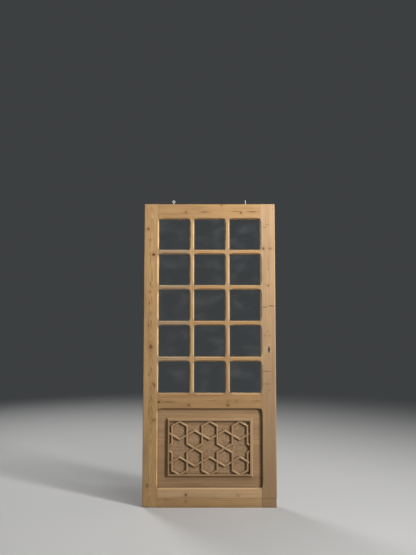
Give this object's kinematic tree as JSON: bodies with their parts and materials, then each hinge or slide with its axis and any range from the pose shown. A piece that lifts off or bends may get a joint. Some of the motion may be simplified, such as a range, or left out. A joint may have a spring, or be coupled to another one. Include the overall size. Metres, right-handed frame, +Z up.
{
  "type": "glass panel entry door",
  "caption": "Pine door leaf with a grid of clear panes over a solid panel that carries a raised moulding and a hexagon and star strapwork, with a mortise deadlock.",
  "frame": {"origin": "centre of the leaf's foot, midway through its thickness", "axes": "+X from the hinge edge to the lock edge, +Y from the front to the back, +Z up the leaf"},
  "size_m": [0.77, 0.035, 1.776],
  "materials": {
    "frame_pine": "bare old pine, waxed, knots and worn arrises",
    "panel_pine": "bare old pine, darker, grain across",
    "strap_pine": "bare pine, bevelled edges",
    "clear_glass": "clear float glass, slightly dusty",
    "zinc_plate": "dull zinc plate",
    "lock_steel": "aged steel",
    "bolt_brass": "worn brass"
  },
  "bodies": {
    "leaf": {"hinge_stile": "frame_pine", "lock_stile": "frame_pine", "lock_stile_foot": "frame_pine", "top_rail": "frame_pine", "middle_rail": "frame_pine", "bottom_rail": "frame_pine", "bottom_rail_foot": "frame_pine", "upright_bar_left": "frame_pine", "upright_bar_right": "frame_pine", "cross_bar_1_left": "frame_pine", "cross_bar_1_middle": "frame_pine", "cross_bar_1_right": "frame_pine", "cross_bar_2_left": "frame_pine", "cross_bar_2_middle": "frame_pine", "cross_bar_2_right": "frame_pine", "cross_bar_3_left": "frame_pine", "cross_bar_3_middle": "frame_pine", "cross_bar_3_right": "frame_pine", "cross_bar_4_left": "frame_pine", "cross_bar_4_middle": "frame_pine", "cross_bar_4_right": "frame_pine", "glazing_beads_1": "frame_pine", "glazing_beads_2": "frame_pine", "glazing_beads_3": "frame_pine", "glazing_beads_4": "frame_pine", "glazing_beads_5": "frame_pine", "tenon_wedges": "frame_pine", "pane_1_left": "clear_glass", "pane_1_middle": "clear_glass", "pane_1_right": "clear_glass", "pane_2_left": "clear_glass", "pane_2_middle": "clear_glass", "pane_2_right": "clear_glass", "pane_3_left": "clear_glass", "pane_3_middle": "clear_glass", "pane_3_right": "clear_glass", "pane_4_left": "clear_glass", "pane_4_middle": "clear_glass", "pane_4_right": "clear_glass", "pane_5_left": "clear_glass", "pane_5_middle": "clear_glass", "pane_5_right": "clear_glass", "panel_board": "panel_pine", "moulding_top": "strap_pine", "moulding_foot": "strap_pine", "moulding_left": "strap_pine", "moulding_right": "strap_pine", "strap_uprights": "strap_pine", "strap_rising": "strap_pine", "strap_falling": "strap_pine", "lock_case": "lock_steel", "lock_cap": "lock_steel", "lock_forend": "lock_steel", "forend_screws": "lock_steel", "screw_eye_left": "zinc_plate", "screw_eye_right": "zinc_plate"},
    "bolt": {"lock_bolt": "bolt_brass"}
  },
  "joints": [
    {"name": "bolt_throw", "type": "slide", "parent": "leaf", "child": "bolt", "axis": [1, 0, 0], "range_m": [0, 0.012]}
  ]
}
